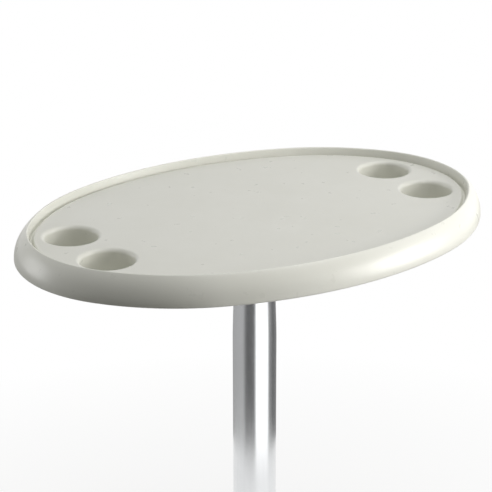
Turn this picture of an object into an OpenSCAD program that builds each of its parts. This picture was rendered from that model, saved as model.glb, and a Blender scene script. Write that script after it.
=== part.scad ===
// Oval pedestal table for a caravan, in millimetres.
// The floor is the plane z = 0, and the post stands on the Z axis.
// X runs along the length of the top.

/* [Table top] */
// Overall length of the top, along X
top_length = 712; // [670:1:790]
// Overall width of the top, along Y
top_width = 492; // [460:1:550]
// Radius of the end arcs over the end radius of a true ellipse
end_fullness = 1.08; // [1.04:0.01:1.12]
// Thickness of the flat panel
panel_t = 4; // [3:0.5:6]
// Radius on the upper edge of the panel, beside the gutter
panel_edge_r = 2.5; // [1:0.5:3]

/* [Rim] */
// Radius of the rounded crest of the rim
crest_r = 1.8; // [1.4:0.1:2.4]
// Height of the crest over the panel
rim_up = 9.3; // [6:0.1:14]
// How far the inner face of the rim leans in on its way down
rim_lean = 2.4; // [1:0.1:4]
// Width of the gutter round the panel
gutter_w = 4.8; // [4:0.1:8]
// Depth of the gutter below the panel
gutter_d = 7; // [5:0.5:10]
// Wall of the gutter and of the inner face of the rim
gutter_wall = 3; // [2:0.1:4]
// Width of the hollow at its top, close under the crest
crest_root_w = 1.5; // [1:0.1:3]
// How far the skirt spreads outside the crest line
skirt_flare = 18; // [14:0.5:24]
// Height from the crest down to the bottom edge of the skirt
skirt_drop = 40; // [36:0.5:50]
// Wall of the skirt
skirt_wall = 3.5; // [2.5:0.1:5]
// Radius on the bottom edge of the skirt
skirt_edge_r = 3; // [1:0.5:3.5]

/* [Cup wells] */
// Distance of the cup centres from the end of the crest line
cup_inset = 74.5; // [72:0.5:84]
// Distance between the two cup centres at one end, along Y
cup_pitch = 104.4; // [100:0.2:112]
// Inner diameter under the rounded lip
cup_d = 73.4; // [66:0.2:78]
// Inner diameter at the floor of the cup
cup_floor_d = 70; // [60:0.5:73]
// Depth of the cup below the panel
cup_depth = 45; // [35:0.5:60]
// Radius of the rounded lip
cup_lip_r = 6; // [4:0.5:7]
// Radius in the corner between wall and floor
cup_corner_r = 5; // [2:0.5:8]
// Wall and floor of the cup
cup_wall = 3; // [2:0.1:4]

/* [Ribs and bosses] */
// Height of the ribs under the panel
rib_h = 10; // [9.5:0.5:14]
// Thickness of the ribs
rib_t = 2.5; // [2:0.1:4]
// Inner radius of the ring rib over the hub of the socket
inner_ring_r = 44; // [40:0.5:48]
// Distance of the outer ring rib inside the edge of the socket
outer_ring_inset = 3; // [2:0.5:5]
// Diameter of each screw boss
boss_d = 16; // [14:0.5:20]

/* [Post] */
// Length of the tube from end to end
tube_length = 685; // [560:1:760]
// Outer diameter of the tube
tube_d = 63.5; // [60:0.5:66]
// Wall of the tube
tube_wall = 2; // [1.5:0.1:3]
// Outer diameter of the tube at its tapered ends
tube_end_d = 54; // [50:0.1:58]
// Length of the taper at each end
taper_length = 164; // [120:1:190]
// Distance of the tube's ends from the mounting faces of the sockets
tube_lift = 6; // [3:0.5:12]
// Chamfer on the ends of the tube
tube_chamfer = 0.5; // [0.2:0.1:1]

/* [Sockets] */
// Diameter of the round flange
flange_d = 170; // [164:1:190]
// Thickness of the flange
flange_t = 5; // [4:0.5:8]
// Radius on the outer edge of the flange
flange_edge_r = 2.5; // [1:0.5:3.5]
// Height of the socket from its mounting face to its mouth
socket_h = 75; // [60:1:100]
// Wall of the hub round the liner, at the mouth
hub_wall = 4; // [3:0.5:6]
// How much the hub widens from the mouth to the foot
hub_draft = 1; // [0.5:0.1:2]
// Radius of the sweep from the flange into the hub
hub_sweep_r = 22; // [12:1:24]
// Radius on the rim of the mouth
mouth_r = 1.5; // [0.5:0.5:2]
// Wall of the plastic liner
liner_t = 1.6; // [1.2:0.1:2.5]
// Thickness of the liner's collar on the mouth
collar_t = 2; // [1.5:0.5:3]
// Reach of the collar over the mouth
collar_reach = 2; // [1:0.5:2.5]
// Distance of the liner's end from the mounting face
liner_lift = 1; // [0.5:0.5:3]
// Diameter of the circle through the screw holes
bolt_circle = 142; // [138:1:148]

/* [Fasteners] */
// Thread diameter of the screws
screw_d = 6; // [5:0.5:6]
// How far the screws reach into the top
screw_reach = 8; // [6:0.5:8]
// Diameter of the countersunk head
screw_head_d = 12; // [10:0.5:12]
// Width of the hexagon recess across its corners
key_d = 4.6; // [3:0.1:5]
// Depth of the hexagon recess
key_depth = 2.2; // [1.5:0.1:2.5]
// Outer diameter of the threaded inserts
insert_d = 9; // [8.5:0.1:10]
// Length of the threaded inserts
insert_length = 9; // [8:0.5:9]
// Depth of the groove round the middle of each insert
insert_groove = 0.5; // [0.2:0.1:0.8]

/* [Clearances] */
// Gap between the tube and the liner
slip_gap = 0.2; // [0.1:0.05:0.3]
// Gap between pieces that are pressed or screwed together
press_gap = 0.1; // [0.05:0.05:0.2]
// Gap round a screw in its clearance hole
hole_gap = 0.3; // [0.2:0.05:0.5]
// Space left behind each insert in its boss
insert_gap = 0.5; // [0.2:0.1:0.5]

/* [Hidden] */
bolt_count = 6;
rib_count = 2 * bolt_count;
$fn = 96;
oval_facets = 360;
// Steps along the small radii and along the wide curves of a section
edge_steps = 6;
curve_steps = 10;
// How far a cutting shape reaches past the piece it cuts
over = 1;

ivory = [0.93, 0.93, 0.9];
satin_metal = [0.78, 0.79, 0.8];
cast_metal = [0.7, 0.71, 0.72];
screw_steel = [0.6, 0.61, 0.63];
brass = [0.8, 0.66, 0.36];
liner_grey = [0.3, 0.31, 0.32];

// Levels, from the floor up
mount_z = 2 * tube_lift + tube_length;
panel_z = mount_z + rib_h + panel_t;
crest_z = panel_z + rim_up;

// Half axes of the crest line
crest_a = top_length / 2 - skirt_flare;
crest_b = top_width / 2 - skirt_flare;

// The crest line is eight tangent arcs: two ends, four shoulders and two sides.
// The arcs change over along two directions whose cosines are exact decimals,
// so each arc ends in exactly the place where the next one starts.
turn_1 = [0.8, 0.6];
turn_2 = [0.352, 0.936];
// Each step of the radius takes a part off the width, and a larger part off the length
across_1 = 1 - turn_1.y;
across_2 = 1 - turn_2.y;
along_1 = turn_1.x - across_1;
along_2 = turn_2.x - across_2;
wanted_end_r = end_fullness * crest_b * crest_b / crest_a;
end_r_unstepped = crest_b - (crest_a - crest_b) * across_1 / along_1;
end_r_gain = along_2 * across_1 / along_1 - across_2;
// The step is kept to halves, so that the centres below stay short decimals too
side_step = round(2 * (wanted_end_r - end_r_unstepped) / end_r_gain) / 2;
shoulder_step = (crest_a - crest_b - along_2 * side_step) / along_1;
end_r = crest_b - across_1 * shoulder_step - across_2 * side_step;
shoulder_r = end_r + shoulder_step;
side_r = shoulder_r + side_step;
end_c = [crest_a - end_r, 0];
shoulder_c = end_c - shoulder_step * turn_1;
side_c = [0, crest_b - side_r];
side_edge = [shoulder_c.x - shoulder_c.y * turn_2.x / turn_2.y, 0];

// Section of the rim, measured outward from the crest line and up from the crest
skirt_low = skirt_drop - skirt_edge_r;
skirt_r = (pow(skirt_flare, 2) - pow(crest_r, 2) + pow(skirt_low - crest_r, 2))
    / (2 * (skirt_flare - crest_r));
skirt_c = [skirt_flare - skirt_r, -skirt_low];
skirt_top_angle = atan2(skirt_low - crest_r, skirt_r - skirt_flare);
edge_r = min(skirt_edge_r, skirt_wall - 0.5);
gutter_out = crest_r + rim_lean;
gutter_in = gutter_out + gutter_w;
gutter_floor_r = gutter_w / 2;
gutter_low = rim_up + gutter_d - gutter_floor_r;
gutter_c = [-gutter_in + gutter_floor_r, -gutter_low];
panel_under = rim_up + panel_t;
panel_mid = rim_up + panel_t / 2;

// The hollow under the crest ends where the rim's two walls are crest_root_w apart
lean = rim_lean / (gutter_low - crest_r);
hollow_r = skirt_r - skirt_wall;
root_x = gutter_wall - gutter_out + lean * (gutter_low - skirt_low) + crest_root_w - skirt_c.x;
root_rise = (sqrt(pow(hollow_r, 2) * (1 + lean * lean) - root_x * root_x) - root_x * lean)
    / (1 + lean * lean);
root_angle = asin(root_rise / hollow_r);

// Where the outside of the gutter meets the underside of the panel
gutter_back_r = gutter_floor_r + gutter_wall;
gutter_end = 180 + asin(max(0, panel_under - gutter_low) / gutter_back_r);

// Cup wells
cup_x = crest_a - cup_inset;
cup_y = cup_pitch / 2;
cup_mouth_r = cup_d / 2 + cup_lip_r;

// Taper of the tube's ends, and the cones that follow it
taper_slope = (tube_d - tube_end_d) / 2 / taper_length;
function tube_r_at(z) = tube_end_d / 2 + (z - tube_lift) * taper_slope;
function liner_in_r(z) = tube_r_at(z) + slip_gap;
function liner_out_r(z) = liner_in_r(z) + liner_t;
function bore_r(z) = liner_out_r(z) + press_gap;
hub_mouth_r = bore_r(socket_h) + hub_wall;
hub_foot_r = hub_mouth_r + hub_draft;
collar_r = bore_r(socket_h) + min(collar_reach, hub_wall - mouth_r);

// Fasteners
head_h = (screw_head_d - screw_d) / 2;
hole_d = screw_d + 2 * hole_gap;

// Points along an arc, from one angle to another
function arc(centre, r, from, to, steps) =
    [for (i = [0:steps]) centre + r * [cos(from + (to - from) * i / steps),
                                       sin(from + (to - from) * i / steps)]];

// Outline of the top's section, from the axis of an arc out to the skirt
function top_outline(r) = concat(
    [[0, -panel_under], [0, -rim_up]],
    arc([r - gutter_in - panel_edge_r, -rim_up - panel_edge_r], panel_edge_r, 90, 0, edge_steps),
    arc([r, 0] + gutter_c, gutter_floor_r, 180, 360, curve_steps),
    arc([r, -crest_r], crest_r, 180, skirt_top_angle, curve_steps),
    arc([r, 0] + skirt_c, skirt_r, skirt_top_angle, 0, curve_steps),
    arc([r + skirt_flare - edge_r, edge_r - skirt_drop], edge_r, 0, -90, edge_steps),
    [[r + skirt_flare - skirt_wall, -skirt_drop]],
    arc([r, 0] + skirt_c, hollow_r, 0, root_angle, curve_steps),
    [[r + skirt_c.x + hollow_r * cos(root_angle) - crest_root_w, root_rise - skirt_low]],
    arc([r, 0] + gutter_c, gutter_back_r, 360, gutter_end, curve_steps),
    [[r + gutter_c.x + gutter_back_r * cos(gutter_end), -panel_under]]
);

// Outline of the space under the top, out to the middle of its walls
function under_outline(r) = concat(
    [[0, -skirt_low], [0, -panel_mid]],
    [[r + gutter_c.x - gutter_floor_r - gutter_wall / 2, -panel_mid]],
    arc([r, 0] + gutter_c, gutter_floor_r + gutter_wall / 2, 180, 360, curve_steps),
    [[r + gutter_wall / 2 - gutter_out + lean * (gutter_low - panel_mid), -panel_mid]],
    arc([r, 0] + skirt_c, skirt_r - skirt_wall / 2,
        asin((skirt_low - panel_mid) / (skirt_r - skirt_wall / 2)), 0, curve_steps)
);

// Plan of the part of the oval that one arc covers, reaching past the rim
end_tile = [end_c, end_c + top_length * [turn_1.x, -turn_1.y], end_c + top_length * turn_1];
shoulder_tile = [side_edge, end_c, end_c + top_length * turn_1, side_edge + top_length * turn_2];
side_tile = [
    [-side_edge.x, 0], side_edge, side_edge + top_length * turn_2,
    [-side_edge.x - top_length * turn_2.x, top_length * turn_2.y]
];

// A section turned about the centre of an arc and kept to that arc's tile
module swept_arc(tile, centre, outline) {
    intersection() {
        translate([0, 0, crest_z - skirt_drop - over])
            linear_extrude(skirt_drop + 2 * over)
                polygon(tile);
        translate([centre.x, centre.y, crest_z])
            rotate_extrude($fn = oval_facets)
                polygon(outline);
    }
}

// The eight arcs of the oval with a section of the top or of the space under it
module swept_oval(under = false) {
    for (end = [0, 1])
        mirror([end, 0, 0]) {
            swept_arc(end_tile, end_c, under ? under_outline(end_r) : top_outline(end_r));
            for (side = [0, 1])
                mirror([0, side, 0])
                    swept_arc(shoulder_tile, shoulder_c,
                        under ? under_outline(shoulder_r) : top_outline(shoulder_r));
        }
    for (side = [0, 1])
        mirror([0, side, 0])
            swept_arc(side_tile, side_c, under ? under_outline(side_r) : top_outline(side_r));
}

// Places things over the four cup wells
module at_cups() {
    for (x = [-cup_x, cup_x])
        for (y = [-cup_y, cup_y])
            translate([x, y, panel_z])
                children();
}

// Outside of a cup well, below the panel
module cup_body() {
    rotate_extrude()
        polygon(concat(
            [[0, -panel_t / 2], [0, -cup_depth - cup_wall]],
            arc([cup_floor_d / 2 - cup_corner_r, cup_corner_r - cup_depth],
                cup_corner_r + cup_wall, -90, 0, edge_steps),
            [[cup_d / 2 + cup_wall, -cup_lip_r], [cup_d / 2 + cup_wall, -panel_t / 2]]
        ));
}

// Inside of a cup well, with its flaring lip
module cup_space() {
    rotate_extrude()
        polygon(concat(
            [[0, over], [0, -cup_depth]],
            arc([cup_floor_d / 2 - cup_corner_r, cup_corner_r - cup_depth],
                cup_corner_r, -90, 0, edge_steps),
            arc([cup_mouth_r, -cup_lip_r], cup_lip_r, 180, 90, curve_steps),
            [[cup_mouth_r, over]]
        ));
}

// Ring standing under the panel, down to the mounting plane
module ring_rib(inner_r) {
    translate([0, 0, mount_z])
        difference() {
            cylinder(h = rib_h + panel_t / 2, r = inner_r + rib_t);
            translate([0, 0, -over])
                cylinder(h = rib_h + panel_t / 2 + 2 * over, r = inner_r);
        }
}

// Upright plate along X, centred on the X axis, down to the mounting plane
module plate_rib(from_x, to_x) {
    translate([from_x, -rib_t / 2, mount_z])
        cube([to_x - from_x, rib_t, rib_h + panel_t / 2]);
}

// Radial ribs from the inner ring, and cross ribs through the cup wells
module ribs() {
    for (i = [1:rib_count])
        rotate(360 * i / rib_count)
            plate_rib(inner_ring_r + rib_t / 2, top_length / 2);
    for (x = [-cup_x, cup_x])
        translate([x, 0, 0])
            rotate(90)
                plate_rib(-top_width / 2, top_width / 2);
    for (end = [0, 1])
        mirror([end, 0, 0])
            for (y = [-cup_y, cup_y])
                translate([0, y, 0])
                    plate_rib(cup_x, top_length / 2);
}

// Places things at the screw holes of a flange
module at_bolts() {
    for (i = [1:bolt_count])
        at_bolt(i)
            children();
}

module at_bolt(i) {
    rotate(360 * (i + 0.5) / bolt_count)
        translate([bolt_circle / 2, 0, 0])
            children();
}

module table_top() {
    color(ivory)
        difference() {
            union() {
                swept_oval();
                intersection() {
                    ribs();
                    swept_oval(under = true);
                }
                ring_rib(inner_ring_r);
                ring_rib(flange_d / 2 - outer_ring_inset - rib_t);
                at_cups()
                    cup_body();
                translate([0, 0, mount_z])
                    at_bolts()
                        cylinder(h = rib_h + panel_t / 2, d = boss_d);
            }
            at_cups()
                cup_space();
            translate([0, 0, mount_z - over])
                at_bolts()
                    cylinder(h = over + insert_length + insert_gap, d = insert_d + 2 * press_gap);
        }
}

// Cast socket with its flange on the plane z = 0 and its mouth upward
module socket() {
    difference() {
        rotate_extrude()
            polygon(concat(
                [[bore_r(0), 0], [flange_d / 2, 0]],
                arc([flange_d / 2 - flange_edge_r, flange_t - flange_edge_r],
                    flange_edge_r, 0, 90, edge_steps),
                arc([hub_foot_r + hub_sweep_r, flange_t + hub_sweep_r],
                    hub_sweep_r, 270, 180, curve_steps),
                arc([hub_mouth_r - mouth_r, socket_h - mouth_r], mouth_r, 0, 90, edge_steps),
                [[bore_r(socket_h), socket_h]]
            ));
        at_bolts() {
            translate([0, 0, -over])
                cylinder(h = flange_t + 2 * over, d = hole_d);
            translate([0, 0, flange_t - head_h])
                cylinder(h = head_h + over, d1 = hole_d, d2 = hole_d + 2 * (head_h + over));
        }
    }
}

// Plastic sleeve between a socket and the tube, with a collar on the mouth
module liner() {
    rotate_extrude()
        polygon([
            [liner_in_r(liner_lift), liner_lift],
            [liner_out_r(liner_lift), liner_lift],
            [liner_out_r(socket_h), socket_h],
            [collar_r, socket_h],
            [collar_r, socket_h + collar_t / 2],
            [collar_r - collar_t / 2, socket_h + collar_t],
            [liner_in_r(socket_h + collar_t), socket_h + collar_t]
        ]);
}

// Turns a piece of the floor socket upside down, into its place under the top
module under_top() {
    translate([0, 0, mount_z])
        rotate([180, 0, 0])
            children();
}

module floor_socket() {
    color(cast_metal)
        socket();
}

module floor_liner() {
    color(liner_grey)
        liner();
}

module top_socket() {
    color(cast_metal)
        under_top()
            socket();
}

module top_liner() {
    color(liner_grey)
        under_top()
            liner();
}

// Half of the tube's section, from its end up to the middle
function tube_side(r_end, r, chamfer) = [
    [r_end - chamfer, 0], [r_end, abs(chamfer)],
    [r, taper_length], [r, tube_length - taper_length],
    [r_end, tube_length - abs(chamfer)], [r_end - chamfer, tube_length]
];

module pedestal_tube() {
    inner = tube_side(tube_end_d / 2 - tube_wall, tube_d / 2 - tube_wall, -tube_chamfer);
    color(satin_metal)
        translate([0, 0, tube_lift])
            rotate_extrude()
                polygon(concat(
                    tube_side(tube_end_d / 2, tube_d / 2, tube_chamfer),
                    [for (i = [len(inner) - 1:-1:0]) inner[i]]
                ));
}

module screw(i) {
    color(screw_steel)
        under_top()
            at_bolt(i)
                difference() {
                    union() {
                        translate([0, 0, flange_t - head_h])
                            cylinder(h = head_h, d1 = screw_d, d2 = screw_head_d);
                        translate([0, 0, -screw_reach])
                            cylinder(h = screw_reach + flange_t - head_h, d = screw_d);
                    }
                    translate([0, 0, flange_t - key_depth])
                        cylinder(h = key_depth + over, d = key_d, $fn = 6);
                }
}

module insert(i) {
    color(brass)
        under_top()
            at_bolt(i)
                translate([0, 0, -insert_length])
                    difference() {
                        cylinder(h = insert_length, d = insert_d);
                        translate([0, 0, -over])
                            cylinder(h = insert_length + 2 * over, d = screw_d + 2 * press_gap);
                        translate([0, 0, insert_length / 3])
                            difference() {
                                cylinder(h = insert_length / 3, d = insert_d + over);
                                translate([0, 0, -over])
                                    cylinder(h = insert_length, d = insert_d - 2 * insert_groove);
                            }
                    }
}

table_top();
top_socket();
top_liner();
pedestal_tube();
floor_liner();
floor_socket();
for (i = [1:bolt_count]) {
    screw(i);
    insert(i);
}
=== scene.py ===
"""Looks of the oval pedestal table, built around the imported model. Lengths are in metres."""
import math

import bmesh
import bpy
import numpy as np
from mathutils import Matrix, Vector


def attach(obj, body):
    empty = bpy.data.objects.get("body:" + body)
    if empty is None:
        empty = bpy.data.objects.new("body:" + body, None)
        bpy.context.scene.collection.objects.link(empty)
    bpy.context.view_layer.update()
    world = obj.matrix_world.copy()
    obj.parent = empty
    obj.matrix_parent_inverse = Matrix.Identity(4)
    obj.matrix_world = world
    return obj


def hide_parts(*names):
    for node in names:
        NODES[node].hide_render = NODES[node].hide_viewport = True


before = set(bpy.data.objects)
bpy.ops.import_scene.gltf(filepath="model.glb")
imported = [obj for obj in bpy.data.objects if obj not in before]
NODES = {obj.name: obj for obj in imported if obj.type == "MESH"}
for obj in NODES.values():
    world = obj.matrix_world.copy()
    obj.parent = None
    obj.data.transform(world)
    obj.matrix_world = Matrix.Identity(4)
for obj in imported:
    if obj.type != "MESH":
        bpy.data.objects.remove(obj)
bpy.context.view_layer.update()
BODY = "root"
MM = 0.001

# Levels, as the part's source has them
MOUNT_Z = 0.697
PANEL_Z = 0.711
CREST_Z = 0.7203

# The photograph's camera, from a fit to the edges of the top
IMAGE_PX = 492
FOCAL_PX = 1886.14
SENSOR_MM = 36.0
CAMERA_AZIMUTH = math.radians(-32.4078)
CAMERA_ELEVATION = math.radians(19.684)
CAMERA_DISTANCE = 2.6613
CAMERA_AIM = Vector((0, 0, CREST_Z))
# Where the aim point lies from the middle of the picture, in pixels right and down
AIM_PX = (8.575, -40.811)


# ---------------------------------------------------------------- camera

def horizontal(azimuth):
    """Direction of a bearing: 0 is -Y, and it grows towards +X."""
    return Vector((math.sin(azimuth), -math.cos(azimuth), 0))


def make_camera():
    back = horizontal(CAMERA_AZIMUTH) * math.cos(CAMERA_ELEVATION)
    back.z = math.sin(CAMERA_ELEVATION)
    right = Vector((math.cos(CAMERA_AZIMUTH), math.sin(CAMERA_AZIMUTH), 0))
    up = back.cross(right)
    axes = Matrix((right, up, back)).transposed()
    yaw = math.atan2(AIM_PX[0], FOCAL_PX)
    pitch = math.atan2(AIM_PX[1], FOCAL_PX)
    turn = Matrix.Rotation(yaw, 3, "Y") @ Matrix.Rotation(pitch, 3, "X")
    data = bpy.data.cameras.new("camera")
    data.sensor_width = SENSOR_MM
    data.lens = SENSOR_MM * FOCAL_PX / IMAGE_PX
    camera = bpy.data.objects.new("camera", data)
    camera.matrix_world = Matrix.Translation(CAMERA_AIM + back * CAMERA_DISTANCE) @ (axes @ turn).to_4x4()
    bpy.context.scene.collection.objects.link(camera)
    bpy.context.scene.camera = camera
    return camera


# ---------------------------------------------------------------- mesh helpers

def add_object(name, bm, material, sharp_angle=math.radians(32)):
    """Makes an object of a mesh, smooth but for its sharp edges."""
    bmesh.ops.recalc_face_normals(bm, faces=bm.faces)
    mesh = bpy.data.meshes.new(name)
    bm.to_mesh(mesh)
    bm.free()
    mesh.shade_smooth()
    mesh.set_sharp_from_angle(angle=sharp_angle)
    mesh.materials.append(material)
    made = bpy.data.objects.new(name, mesh)
    bpy.context.scene.collection.objects.link(made)
    return made


def arc(centre, radius, start, end, steps):
    """Points along an arc, with its ends, as (across, up) pairs; angles in degrees."""
    angles = np.radians(np.linspace(start, end, steps + 1))
    return [(centre[0] + radius * math.cos(a), centre[1] + radius * math.sin(a)) for a in angles]


def grid(bm, rows, close_rows=False, close_columns=True):
    """Quads between rows of vertices."""
    count = len(rows[0])
    pairs = list(zip(rows, rows[1:])) + ([(rows[-1], rows[0])] if close_rows else [])
    for low, high in pairs:
        for i in range(count if close_columns else count - 1):
            j = (i + 1) % count
            bm.faces.new((low[i], low[j], high[j], high[i]))


def ring_row(bm, centre, radius, z, segments):
    angles = 2 * math.pi * np.arange(segments) / segments
    return [bm.verts.new((centre[0] + radius * math.cos(a), centre[1] + radius * math.sin(a), z))
            for a in angles]


def lathe(bm, profile, segments, centre=(0, 0), closed=False):
    """Turns (radius, height) pairs about an upright axis. A radius of 0 at an end closes with a fan."""
    rows = []
    fans = []
    for index, (radius, z) in enumerate(profile):
        if radius <= 1e-9:
            fans.append((index, bm.verts.new((centre[0], centre[1], z))))
        else:
            rows.append(ring_row(bm, centre, radius, z, segments))
    grid(bm, rows, close_rows=closed)
    for index, tip in fans:
        row = rows[0] if index == 0 else rows[-1]
        for i in range(segments):
            bm.faces.new((row[i], row[(i + 1) % segments], tip))
    return rows


# ---------------------------------------------------------------- the oval

CREST_A = 338 * MM
CREST_B = 228 * MM
TURN_1 = (0.8, 0.6)
TURN_2 = (0.352, 0.936)
SHOULDER_STEP = 120.56 * MM
SIDE_STEP = 214.5 * MM
END_R = CREST_B - (1 - TURN_1[1]) * SHOULDER_STEP - (1 - TURN_2[1]) * SIDE_STEP
SHOULDER_R = END_R + SHOULDER_STEP
SIDE_R = SHOULDER_R + SIDE_STEP
END_C = (CREST_A - END_R, 0.0)
SHOULDER_C = (END_C[0] - SHOULDER_STEP * TURN_1[0], -SHOULDER_STEP * TURN_1[1])
SIDE_C = (0.0, CREST_B - SIDE_R)
ANGLE_1 = math.atan2(TURN_1[1], TURN_1[0])
ANGLE_2 = math.atan2(TURN_2[1], TURN_2[0])
QUARTER_STEPS = (22, 32, 36)


def crest_line():
    """Points of the crest line and the outward directions there, for the whole oval."""
    arcs = (
        (END_C, END_R, 0.0, ANGLE_1),
        (SHOULDER_C, SHOULDER_R, ANGLE_1, ANGLE_2),
        (SIDE_C, SIDE_R, ANGLE_2, math.pi / 2),
    )
    quarter = []
    for (centre, radius, start, end), steps in zip(arcs, QUARTER_STEPS):
        for i in range(steps):
            a = start + (end - start) * i / steps
            out = (math.cos(a), math.sin(a))
            quarter.append(((centre[0] + radius * out[0], centre[1] + radius * out[1]), out))
    top = [((0.0, CREST_B), (0.0, 1.0))]
    half = quarter + top + [((-p[0], p[1]), (-n[0], n[1])) for p, n in quarter[:0:-1]]
    end = [((-CREST_A, 0.0), (-1.0, 0.0))]
    low = [((-p[0], -p[1]), (-n[0], -n[1])) for p, n in half[1:]]
    return half + end + low


def crest_offset(x, y):
    """How far a point lies outside the crest line."""
    x, y = abs(x), abs(y)
    for centre, radius, turn in ((END_C, END_R, TURN_1), (SHOULDER_C, SHOULDER_R, TURN_2)):
        dx, dy = x - centre[0], y - centre[1]
        if dx > 0 and dy * turn[0] <= dx * turn[1]:
            return math.hypot(dx, dy) - radius
    return math.hypot(x - SIDE_C[0], y - SIDE_C[1]) - SIDE_R


# ---------------------------------------------------------------- the top's section

PANEL_T = 4.0
PANEL_EDGE_R = 2.5
CREST_R = 1.8
RIM_UP = 9.3
RIM_LEAN = 2.4
GUTTER_W = 4.8
GUTTER_D = 7.0
GUTTER_WALL = 3.0
CREST_ROOT_W = 1.5
SKIRT_FLARE = 18.0
SKIRT_DROP = 40.0
SKIRT_WALL = 3.5
SKIRT_EDGE_R = 3.0
RIB_H = 10.0
RIB_T = 2.5
SUPPORT = 0.8

SKIRT_LOW = SKIRT_DROP - SKIRT_EDGE_R
SKIRT_R = (SKIRT_FLARE**2 - CREST_R**2 + (SKIRT_LOW - CREST_R) ** 2) / (2 * (SKIRT_FLARE - CREST_R))
SKIRT_C = (SKIRT_FLARE - SKIRT_R, -SKIRT_LOW)
SKIRT_TOP_ANGLE = math.degrees(math.atan2(SKIRT_LOW - CREST_R, SKIRT_R - SKIRT_FLARE))
HOLLOW_R = SKIRT_R - SKIRT_WALL
GUTTER_OUT = CREST_R + RIM_LEAN
GUTTER_FLOOR_R = GUTTER_W / 2
GUTTER_LOW = RIM_UP + GUTTER_D - GUTTER_FLOOR_R
GUTTER_C = (-GUTTER_OUT - GUTTER_W + GUTTER_FLOOR_R, -GUTTER_LOW)
GUTTER_BACK_R = GUTTER_FLOOR_R + GUTTER_WALL
PANEL_UNDER = RIM_UP + PANEL_T
PANEL_MID = RIM_UP + PANEL_T / 2
LEAN = RIM_LEAN / (GUTTER_LOW - CREST_R)
ROOT_X = GUTTER_WALL - GUTTER_OUT + LEAN * (GUTTER_LOW - SKIRT_LOW) + CREST_ROOT_W - SKIRT_C[0]
ROOT_RISE = (math.sqrt(HOLLOW_R**2 * (1 + LEAN**2) - ROOT_X**2) - ROOT_X * LEAN) / (1 + LEAN**2)
ROOT_ANGLE = math.degrees(math.asin(ROOT_RISE / HOLLOW_R))


def upper_section():
    """The visible side, from the flat panel over the rim to the bottom edge, in mm from the crest."""
    panel_end = GUTTER_C[0] - GUTTER_FLOOR_R - PANEL_EDGE_R
    edge_centre = (panel_end, -RIM_UP - PANEL_EDGE_R)
    bottom = (SKIRT_FLARE - SKIRT_EDGE_R, SKIRT_EDGE_R - SKIRT_DROP)
    return (
        [(panel_end - SUPPORT, -RIM_UP)]
        + arc(edge_centre, PANEL_EDGE_R, 90, 0, 8)
        + arc(GUTTER_C, GUTTER_FLOOR_R, 180, 360, 14)
        + arc((0, -CREST_R), CREST_R, 180, SKIRT_TOP_ANGLE, 12)
        + arc(SKIRT_C, SKIRT_R, SKIRT_TOP_ANGLE, 0, 24)[1:]
        + arc(bottom, SKIRT_EDGE_R, 0, -90, 8)[1:]
    )


def lower_section():
    """The hollow side, from the bottom edge up into the rim, round the gutter and to the panel."""
    return (
        [(SKIRT_FLARE - SKIRT_WALL + 0.25, -SKIRT_DROP), (SKIRT_FLARE - SKIRT_WALL, 0.25 - SKIRT_DROP)]
        + arc(SKIRT_C, HOLLOW_R, 0, ROOT_ANGLE, 16)
        + [(SKIRT_C[0] + HOLLOW_R * math.cos(math.radians(ROOT_ANGLE)) - CREST_ROOT_W,
            ROOT_RISE - SKIRT_LOW)]
        + arc(GUTTER_C, GUTTER_BACK_R, 360, 180, 14)
        + [(GUTTER_C[0] - GUTTER_BACK_R, -PANEL_UNDER)]
    )


# ---------------------------------------------------------------- cup wells and ribs

CUP_X = 263.5
CUP_Y = 52.2
CUP_R = 36.7
CUP_FLOOR_R = 35.0
CUP_DEPTH = 45.0
CUP_LIP_R = 6.0
CUP_CORNER_R = 5.0
CUP_WALL = 3.0
CUP_SEGMENTS = 72
CUPS = [(x * MM, y * MM) for x in (-CUP_X, CUP_X) for y in (-CUP_Y, CUP_Y)]


def cup_inside():
    """From the flat panel over the lip, down the wall and across the floor, in mm below the panel."""
    corner = (CUP_FLOOR_R - CUP_CORNER_R, CUP_CORNER_R - CUP_DEPTH)
    lip = (CUP_R + CUP_LIP_R, -CUP_LIP_R)
    return (
        [(CUP_R + CUP_LIP_R + SUPPORT, 0.0)]
        + arc(lip, CUP_LIP_R, 90, 180, 12)
        + arc(corner, CUP_CORNER_R, 0, -90, 8)
        + [(CUP_FLOOR_R / 2, -CUP_DEPTH), (0.0, -CUP_DEPTH)]
    )


def cup_outside():
    corner = (CUP_FLOOR_R - CUP_CORNER_R, CUP_CORNER_R - CUP_DEPTH)
    return (
        [(CUP_R + CUP_WALL, -PANEL_T), (CUP_R + CUP_WALL, -CUP_LIP_R)]
        + arc(corner, CUP_CORNER_R + CUP_WALL, 0, -90, 8)
        + [(0.0, -CUP_DEPTH - CUP_WALL)]
    )


def to_metres(profile, z):
    return [(r * MM, z + h * MM) for r, h in profile]


def build_shell(bm):
    """The moulded shell: one closed skin with the rim, the panel and the four cup wells."""
    crest = crest_line()

    def row(across, up):
        return [bm.verts.new((p[0] + across * MM * n[0], p[1] + across * MM * n[1], CREST_Z + up * MM))
                for p, n in crest]

    section = upper_section() + lower_section()
    rows = [row(across, up) for across, up in section]
    grid(bm, rows)
    for edge_row, profile in ((rows[0], cup_inside()), (rows[-1], cup_outside())):
        loops = [edge_row]
        for centre in CUPS:
            loops.append(lathe(bm, to_metres(profile, PANEL_Z), CUP_SEGMENTS, centre)[0])
        edges = []
        for loop in loops:
            for i, vert in enumerate(loop):
                edges.append(bm.edges.get((vert, loop[(i + 1) % len(loop)])))
        bmesh.ops.triangle_fill(bm, use_beauty=True, edges=edges)


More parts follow.
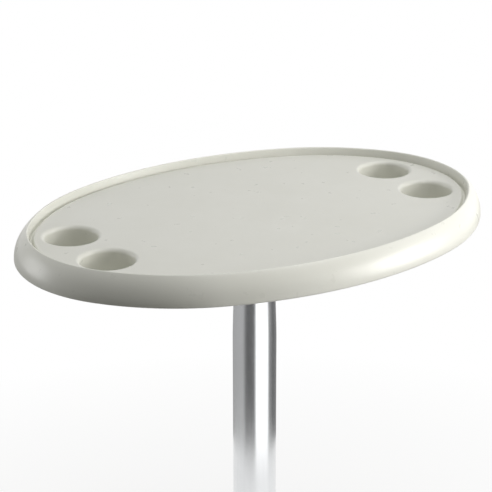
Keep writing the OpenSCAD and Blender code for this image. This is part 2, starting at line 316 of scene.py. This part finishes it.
def rib_end():
    """How a rib ends inside the rim's walls: (offset from the crest line, height), in mm."""
    middle_r = SKIRT_R - SKIRT_WALL / 2
    bottom = -PANEL_UNDER - RIB_H
    start = math.degrees(math.asin((SKIRT_LOW - PANEL_MID) / middle_r))
    stop = math.degrees(math.asin((SKIRT_LOW + bottom) / middle_r))
    return (
        [(GUTTER_C[0] - GUTTER_FLOOR_R - GUTTER_WALL / 2, -PANEL_MID)]
        + arc(GUTTER_C, GUTTER_FLOOR_R + GUTTER_WALL / 2, 180, 360, 12)
        + [(GUTTER_WALL / 2 - GUTTER_OUT + LEAN * (GUTTER_LOW - PANEL_MID), -PANEL_MID)]
        + arc(SKIRT_C, middle_r, start, stop, 8)
    )


def rib_prism(bm, origin, angle, outline):
    """A plate along a bearing, from an outline whose points are found for each of its two faces."""
    along = (math.cos(angle), math.sin(angle))
    faces = []
    for side in (-RIB_T / 2 * MM, RIB_T / 2 * MM):
        base = (origin[0] - side * along[1], origin[1] + side * along[0])
        verts = []
        for kind, value, up in outline:
            s = value * MM if kind == "at" else rim_distance(base, along, value * MM)
            verts.append(bm.verts.new((base[0] + s * along[0], base[1] + s * along[1], CREST_Z + up * MM)))
        bm.faces.new(verts)
        faces.append(verts)
    grid(bm, faces)


def rim_distance(base, along, offset):
    """Distance from a point, along a direction, to a line at an offset from the crest line."""
    low, high = 0.0, 0.5
    for _ in range(40):
        middle = (low + high) / 2
        if crest_offset(base[0] + middle * along[0], base[1] + middle * along[1]) < offset:
            low = middle
        else:
            high = middle
    return (low + high) / 2


INNER_RING_R = 44.0
OUTER_RING_R = 79.5
RIB_COUNT = 12
BOSS_R = 8.0
BOSS_HOLE_R = 4.6
BOSS_HOLE_DEPTH = 9.5
BOLT_CIRCLE_R = 71.0
BOLT_ANGLES = [math.radians(30 + 60 * i) for i in range(1, 7)]
# Middle of the cup's wall at the height of the ribs
CUP_RIB_R = 38.0


def build_ribs(bm):
    """Ribs, ring ribs and screw bosses under the panel, each ending inside the wall it joins."""
    top, bottom = -PANEL_MID, -PANEL_UNDER - RIB_H
    to_rim = [("rim", across, up) for across, up in rib_end()]

    def ribbed(origin, angle, start):
        rib_prism(bm, origin, angle, [("at", start, top)] + to_rim + [("at", start, bottom)])

    for i in range(RIB_COUNT):
        ribbed((0, 0), 2 * math.pi * i / RIB_COUNT, INNER_RING_R + RIB_T / 2)
    for x, y in CUPS:
        ribbed((x, y), 0.0 if x > 0 else math.pi, CUP_RIB_R)
        ribbed((x, y), math.pi / 2 if y > 0 else -math.pi / 2, CUP_RIB_R)
    between = CUP_Y - CUP_RIB_R
    for x in (-CUP_X, CUP_X):
        rib_prism(bm, (x * MM, 0), math.pi / 2, [
            ("at", -between, top), ("at", between, top), ("at", between, bottom), ("at", -between, bottom)])
    ring_top = CREST_Z + top * MM
    for inner in (INNER_RING_R, OUTER_RING_R):
        lathe(bm, [(inner * MM, MOUNT_Z), (inner * MM, ring_top),
                   ((inner + RIB_T) * MM, ring_top), ((inner + RIB_T) * MM, MOUNT_Z)], 96, closed=True)
    for angle in BOLT_ANGLES:
        centre = (BOLT_CIRCLE_R * MM * math.cos(angle), BOLT_CIRCLE_R * MM * math.sin(angle))
        lathe(bm, [(0, ring_top), (BOSS_R * MM, ring_top), (BOSS_R * MM, MOUNT_Z),
                   (BOSS_HOLE_R * MM, MOUNT_Z), (BOSS_HOLE_R * MM, MOUNT_Z + BOSS_HOLE_DEPTH * MM),
                   (0, MOUNT_Z + BOSS_HOLE_DEPTH * MM)], 32, centre)


# ---------------------------------------------------------------- post and sockets

TUBE_LIFT = 6.0
TUBE_LENGTH = 685.0
TUBE_R = 31.75
TUBE_END_R = 27.0
TUBE_WALL = 2.0
TAPER = 164.0
TAPER_BLEND = 14.0
TUBE_CHAMFER = 0.5
SLIP_GAP = 0.2
LINER_T = 1.6
PRESS_GAP = 0.1
FLANGE_R = 85.0
FLANGE_T = 5.0
FLANGE_EDGE_R = 2.5
SOCKET_H = 75.0
HUB_WALL = 4.0
HUB_DRAFT = 1.0
HUB_SWEEP_R = 22.0
MOUTH_R = 1.5
SCREW_HOLE_R = 3.3
HEAD_H = 3.0


def tube_r(height):
    """Outer radius of the tube at a height over its lower end, with the bend at the taper eased."""
    from_end = min(height, TUBE_LENGTH - height)
    slope = (TUBE_R - TUBE_END_R) / TAPER
    short = TAPER - from_end
    if short > TAPER_BLEND:
        return TUBE_R - slope * short
    if short < -TAPER_BLEND:
        return TUBE_R
    return TUBE_R - slope * (short + TAPER_BLEND) ** 2 / (4 * TAPER_BLEND)


def tube_profile():
    taper = list(np.linspace(TUBE_CHAMFER, TAPER - TAPER_BLEND, 8))
    bend = list(np.linspace(TAPER - TAPER_BLEND, TAPER + TAPER_BLEND, 9))[1:]
    middle = list(np.linspace(TAPER + TAPER_BLEND, TUBE_LENGTH / 2, 5))[1:]
    lower = taper + bend + middle
    heights = lower + [TUBE_LENGTH - h for h in lower[-2::-1]]
    outer = [(tube_r(h), h) for h in heights]
    inner = [(r - TUBE_WALL, h) for r, h in outer]
    end_low = [(TUBE_END_R - TUBE_WALL + TUBE_CHAMFER, 0.0), (TUBE_END_R - TUBE_CHAMFER, 0.0)]
    end_high = [(r, TUBE_LENGTH) for r, _ in end_low[::-1]]
    profile = end_low + outer + end_high + inner[::-1]
    return [(r * MM, (TUBE_LIFT + h) * MM) for r, h in profile]


def bore_r(height):
    slope = (TUBE_R - TUBE_END_R) / TAPER
    return TUBE_END_R + (height - TUBE_LIFT) * slope + SLIP_GAP + LINER_T + PRESS_GAP


def socket_profile():
    mouth = bore_r(SOCKET_H) + HUB_WALL
    foot = mouth + HUB_DRAFT
    profile = (
        [(bore_r(0), 0.0), (FLANGE_R - 0.6, 0.0)]
        + arc((FLANGE_R - FLANGE_EDGE_R, FLANGE_T - FLANGE_EDGE_R), FLANGE_EDGE_R, 0, 90, 8)
        + [(FLANGE_R - FLANGE_EDGE_R - 1, FLANGE_T), (foot + HUB_SWEEP_R + 1, FLANGE_T)]
        + arc((foot + HUB_SWEEP_R, FLANGE_T + HUB_SWEEP_R), HUB_SWEEP_R, 270, 180, 20)
        + [(mouth + 0.05, SOCKET_H - MOUTH_R - 1.5)]
        + arc((mouth - MOUTH_R, SOCKET_H - MOUTH_R), MOUTH_R, 0, 90, 8)
        + [(bore_r(SOCKET_H), SOCKET_H)]
    )
    return [(r * MM, h * MM) for r, h in profile]


def make_socket(name, upside_down, material):
    bm = bmesh.new()
    lathe(bm, socket_profile(), 120, closed=True)
    made = add_object(name, bm, material)
    cutter = bmesh.new()
    for angle in BOLT_ANGLES:
        centre = (BOLT_CIRCLE_R * MM * math.cos(angle), BOLT_CIRCLE_R * MM * math.sin(angle))
        lathe(cutter, [(0, -MM), (SCREW_HOLE_R * MM, -MM), (SCREW_HOLE_R * MM, (FLANGE_T - HEAD_H) * MM),
                       ((SCREW_HOLE_R + HEAD_H + 1) * MM, (FLANGE_T + 1) * MM), (0, (FLANGE_T + 1) * MM)],
              40, centre)
    tool = add_object(name + "_holes", cutter, material)
    cut = made.modifiers.new("holes", "BOOLEAN")
    cut.operation = "DIFFERENCE"
    cut.solver = "EXACT"
    cut.object = tool
    graph = bpy.context.evaluated_depsgraph_get()
    mesh = bpy.data.meshes.new_from_object(made.evaluated_get(graph))
    made.modifiers.clear()
    made.data = mesh
    bpy.data.objects.remove(tool)
    mesh.shade_smooth()
    mesh.set_sharp_from_angle(angle=math.radians(32))
    if upside_down:
        mesh.transform(Matrix.Translation((0, 0, MOUNT_Z)) @ Matrix.Rotation(math.pi, 4, "X"))
    return made


# ---------------------------------------------------------------- materials

class Shader:
    """A short way to build a node material round a Principled shader."""

    def __init__(self, name, **values):
        self.material = bpy.data.materials.new(name)
        self.material.use_nodes = True
        self.tree = self.material.node_tree
        self.bsdf = self.tree.nodes["Principled BSDF"]
        self.coords = self.tree.nodes.new("ShaderNodeTexCoord").outputs["Object"]
        for key, value in values.items():
            self.bsdf.inputs[key.replace("_", " ")].default_value = value

    def link(self, source, target):
        self.tree.links.new(source, target)

    def stretched(self, scale):
        """Object coordinates stretched along the axes."""
        node = self.tree.nodes.new("ShaderNodeMapping")
        node.inputs["Scale"].default_value = scale
        self.link(self.coords, node.inputs["Vector"])
        return node.outputs["Vector"]

    def noise(self, scale, detail=2.0, roughness=0.5, vector=None):
        node = self.tree.nodes.new("ShaderNodeTexNoise")
        node.inputs["Scale"].default_value = scale
        node.inputs["Detail"].default_value = detail
        node.inputs["Roughness"].default_value = roughness
        self.link(vector or self.coords, node.inputs["Vector"])
        return node.outputs["Fac"]

    def span(self, source, low, high, from_low=0.3, from_high=0.7):
        """Maps the middle of a noise's range to a range of values."""
        node = self.tree.nodes.new("ShaderNodeMapRange")
        node.inputs["From Min"].default_value = from_low
        node.inputs["From Max"].default_value = from_high
        node.inputs["To Min"].default_value = low
        node.inputs["To Max"].default_value = high
        self.link(source, node.inputs["Value"])
        return node.outputs["Result"]

    def tint(self, source, first, second, from_low=0.3, from_high=0.7):
        """Base colour between two colours."""
        ramp = self.tree.nodes.new("ShaderNodeValToRGB")
        ramp.color_ramp.elements[0].position = from_low
        ramp.color_ramp.elements[1].position = from_high
        ramp.color_ramp.elements[0].color = (*first, 1)
        ramp.color_ramp.elements[1].color = (*second, 1)
        self.link(source, ramp.inputs["Fac"])
        self.link(ramp.outputs["Color"], self.bsdf.inputs["Base Color"])

    def bump(self, source, strength, distance, under=None):
        node = self.tree.nodes.new("ShaderNodeBump")
        node.inputs["Strength"].default_value = strength
        node.inputs["Distance"].default_value = distance
        self.link(source, node.inputs["Height"])
        if under is not None:
            self.link(under, node.inputs["Normal"])
        self.link(node.outputs["Normal"], self.bsdf.inputs["Normal"])
        return node.outputs["Normal"]


def ivory_plastic():
    """Smooth ivory white moulding: a faint mottle, a fine grain and slightly uneven gloss."""
    shader = Shader("ivory_plastic", IOR=1.49)
    shader.tint(shader.noise(9, 3), (0.79, 0.79, 0.725), (0.82, 0.82, 0.76))
    shader.link(shader.span(shader.noise(55, 4), 0.27, 0.37), shader.bsdf.inputs["Roughness"])
    wave = shader.bump(shader.noise(24, 1), 0.12, 0.0006)
    shader.bump(shader.noise(700, 2), 0.04, 0.00005, wave)
    return shader.material


def drawn_aluminium():
    """Satin tube with fine draw lines along its length."""
    shader = Shader("drawn_aluminium", Metallic=1.0, Anisotropic=0.35)
    lines = shader.noise(1.0, 3, 0.6, shader.stretched((900, 900, 5)))
    clouds = shader.noise(14, 3)
    shader.tint(clouds, (0.79, 0.80, 0.81), (0.84, 0.85, 0.86))
    shader.link(shader.span(lines, 0.16, 0.26), shader.bsdf.inputs["Roughness"])
    shader.bump(lines, 0.08, 0.0001)
    return shader.material


def cast_aluminium():
    """Satin casting with a fine skin."""
    shader = Shader("cast_aluminium", Metallic=1.0)
    shader.tint(shader.noise(30, 4), (0.60, 0.61, 0.62), (0.70, 0.71, 0.72))
    shader.link(shader.span(shader.noise(180, 3), 0.34, 0.48), shader.bsdf.inputs["Roughness"])
    shader.bump(shader.noise(900, 3, 0.6), 0.25, 0.0002)
    return shader.material


def liner_plastic():
    shader = Shader("liner_plastic", IOR=1.5)
    shader.tint(shader.noise(40, 3), (0.075, 0.08, 0.085), (0.10, 0.105, 0.11))
    shader.link(shader.span(shader.noise(120, 3), 0.45, 0.6), shader.bsdf.inputs["Roughness"])
    shader.bump(shader.noise(1200, 2), 0.15, 0.0001)
    return shader.material


def screw_steel():
    shader = Shader("screw_steel", Metallic=1.0)
    shader.tint(shader.noise(120, 3), (0.48, 0.49, 0.50), (0.60, 0.61, 0.62))
    shader.link(shader.span(shader.noise(500, 3), 0.24, 0.38), shader.bsdf.inputs["Roughness"])
    shader.bump(shader.noise(2500, 2), 0.12, 0.00005)
    return shader.material


def turned_brass():
    shader = Shader("turned_brass", Metallic=1.0)
    shader.tint(shader.noise(90, 3), (0.62, 0.43, 0.16), (0.72, 0.53, 0.22))
    rings = shader.noise(1.0, 2, 0.5, shader.stretched((20, 20, 4000)))
    shader.link(shader.span(rings, 0.22, 0.36), shader.bsdf.inputs["Roughness"])
    shader.bump(rings, 0.2, 0.0001)
    return shader.material


# ---------------------------------------------------------------- studio

def seen_by_camera(tree):
    """1 for what the camera sees directly or in metal and glass, and 0 for light on the object."""
    path = tree.nodes.new("ShaderNodeLightPath")
    total = path.outputs["Is Camera Ray"]
    for name in ("Is Glossy Ray", "Is Transmission Ray"):
        node = tree.nodes.new("ShaderNodeMath")
        node.operation = "MAXIMUM"
        tree.links.new(total, node.inputs[0])
        tree.links.new(path.outputs[name], node.inputs[1])
        total = node.outputs[0]
    return total


WORLD_LIGHT = (0.19, 0.19, 0.18)


def make_world():
    world = bpy.data.worlds.new("studio")
    bpy.context.scene.world = world
    world.use_nodes = True
    tree = world.node_tree
    seen = tree.nodes.new("ShaderNodeBackground")
    seen.inputs["Color"].default_value = (1, 1, 1, 1)
    lit = tree.nodes["Background"]
    lit.inputs["Color"].default_value = (*WORLD_LIGHT, 1)
    mix = tree.nodes.new("ShaderNodeMixShader")
    tree.links.new(seen_by_camera(tree), mix.inputs["Fac"])
    tree.links.new(lit.outputs[0], mix.inputs[1])
    tree.links.new(seen.outputs[0], mix.inputs[2])
    tree.links.new(mix.outputs[0], tree.nodes["World Output"].inputs["Surface"])


FLOOR_R = 30.0
FLOOR_GREY = (0.28, 0.28, 0.27, 1)


def make_floor():
    """Pale floor that reads as the white background and keeps a soft shadow near the object."""
    bm = bmesh.new()
    rows = [ring_row(bm, (0, 0), r, 0.0, 64) for r in (0.5, 1.5, 4.0, 10.0, FLOOR_R)]
    grid(bm, rows)
    tip = bm.verts.new((0, 0, 0))
    for i in range(64):
        bm.faces.new((rows[0][i], rows[0][(i + 1) % 64], tip))
    material = bpy.data.materials.new("floor_paper")
    material.use_nodes = True
    tree = material.node_tree
    tree.nodes.remove(tree.nodes["Principled BSDF"])
    bounce = tree.nodes.new("ShaderNodeBsdfDiffuse")
    bounce.inputs["Color"].default_value = FLOOR_GREY
    paper = tree.nodes.new("ShaderNodeBsdfDiffuse")
    paper.inputs["Color"].default_value = (0.9, 0.9, 0.9, 1)
    white = tree.nodes.new("ShaderNodeEmission")
    white.inputs["Color"].default_value = (1, 1, 1, 1)
    coords = tree.nodes.new("ShaderNodeTexCoord")
    length = tree.nodes.new("ShaderNodeVectorMath")
    length.operation = "LENGTH"
    tree.links.new(coords.outputs["Object"], length.inputs[0])
    fade = tree.nodes.new("ShaderNodeMapRange")
    fade.inputs["From Min"].default_value = 0.3
    fade.inputs["From Max"].default_value = 1.1
    fade.inputs["To Min"].default_value = 0.72
    fade.inputs["To Max"].default_value = 1.0
    tree.links.new(length.outputs["Value"], fade.inputs["Value"])
    shown = tree.nodes.new("ShaderNodeMixShader")
    tree.links.new(fade.outputs["Result"], shown.inputs["Fac"])
    tree.links.new(paper.outputs[0], shown.inputs[1])
    tree.links.new(white.outputs[0], shown.inputs[2])
    whole = tree.nodes.new("ShaderNodeMixShader")
    tree.links.new(seen_by_camera(tree), whole.inputs["Fac"])
    tree.links.new(bounce.outputs[0], whole.inputs[1])
    tree.links.new(shown.outputs[0], whole.inputs[2])
    tree.links.new(whole.outputs[0], tree.nodes["Material Output"].inputs["Surface"])
    floor = add_object("floor", bm, material)


def area_light(name, bearing, height, distance, size, power, colour=(1, 1, 1), aim_z=0.70):
    """A soft box at a bearing from the photograph's camera direction, in degrees to its right."""
    data = bpy.data.lights.new(name, "AREA")
    data.shape = "RECTANGLE"
    data.size, data.size_y = size
    data.energy = power
    data.color = colour
    lamp = bpy.data.objects.new(name, data)
    place = horizontal(CAMERA_AZIMUTH + math.radians(bearing)) * distance
    place.z = height
    lamp.location = place
    lamp.rotation_euler = (place - Vector((0, 0, aim_z))).to_track_quat("Z", "Y").to_euler()
    lamp.visible_camera = False
    bpy.context.scene.collection.objects.link(lamp)
    return lamp


# Reflection tent round the post: (bearing in degrees right of the camera, brightness)
TENT_R = 0.7
TENT_LOW = 0.01
TENT_HIGH = 0.62
TENT = [(-180, 0.35), (-128, 0.42), (-62, 0.46), (-44, 0.13), (2, 0.12), (8, 1.5), (72, 1.5),
        (78, 0.30), (110, 0.12), (180, 0.35)]


def make_tent():
    """Cards round the post that only reflections see: white to the right, dark by the camera."""
    bm = bmesh.new()
    layer = bm.verts.layers.float.new("glow")
    bearings = np.arange(-180, 180, 2.0)
    rows = []
    for z in (TENT_LOW, TENT_HIGH):
        row = []
        for bearing in bearings:
            place = horizontal(CAMERA_AZIMUTH + math.radians(bearing)) * TENT_R
            vert = bm.verts.new((place.x, place.y, z))
            vert[layer] = float(np.interp(bearing, *zip(*TENT)))
            row.append(vert)
        rows.append(row)
    grid(bm, rows)
    material = bpy.data.materials.new("tent_cards")
    material.use_nodes = True
    tree = material.node_tree
    tree.nodes.remove(tree.nodes["Principled BSDF"])
    glow = tree.nodes.new("ShaderNodeAttribute")
    glow.attribute_name = "glow"
    card = tree.nodes.new("ShaderNodeEmission")
    tree.links.new(glow.outputs["Fac"], card.inputs["Strength"])
    tree.links.new(card.outputs[0], tree.nodes["Material Output"].inputs["Surface"])
    tent = add_object("tent", bm, material)
    tent.visible_camera = False
    tent.visible_diffuse = False
    tent.visible_shadow = False
    tent.visible_transmission = False
    tent.visible_volume_scatter = False


# ---------------------------------------------------------------- the scene

bpy.context.scene.view_settings.view_transform = "Standard"
make_camera()
make_world()
make_floor()
make_tent()
area_light("key", 80, 1.0, 2.3, (1.3, 1.2), 45, (1.0, 0.99, 0.97))
area_light("top", 100, 2.9, 0.7, (1.6, 1.6), 24)
area_light("fill", -100, 0.95, 2.4, (1.2, 1.2), 16)

IVORY = ivory_plastic()
TUBE = drawn_aluminium()
CAST = cast_aluminium()
LINER = liner_plastic()
STEEL = screw_steel()
BRASS = turned_brass()

shell = bmesh.new()
build_shell(shell)
build_ribs(shell)
pieces = [(add_object("top_moulding", shell, IVORY), "table_top", "moulded_top")]

post = bmesh.new()
lathe(post, tube_profile(), 144, closed=True)
pieces.append((add_object("post", post, TUBE), "pedestal_tube", "post_tube"))
pieces.append((make_socket("upper_socket", True, CAST), "top_socket", "cast_socket"))
pieces.append((make_socket("lower_socket", False, CAST), "floor_socket", "cast_socket"))
for piece, node, slot in pieces:
    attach(piece, BODY)
    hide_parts(node)

for name, node in NODES.items():
    for prefix, material in (("screw", STEEL), ("insert", BRASS), ("top_liner", LINER), ("floor_liner", LINER)):
        if name.startswith(prefix):
            node.data.materials.clear()
            node.data.materials.append(material)
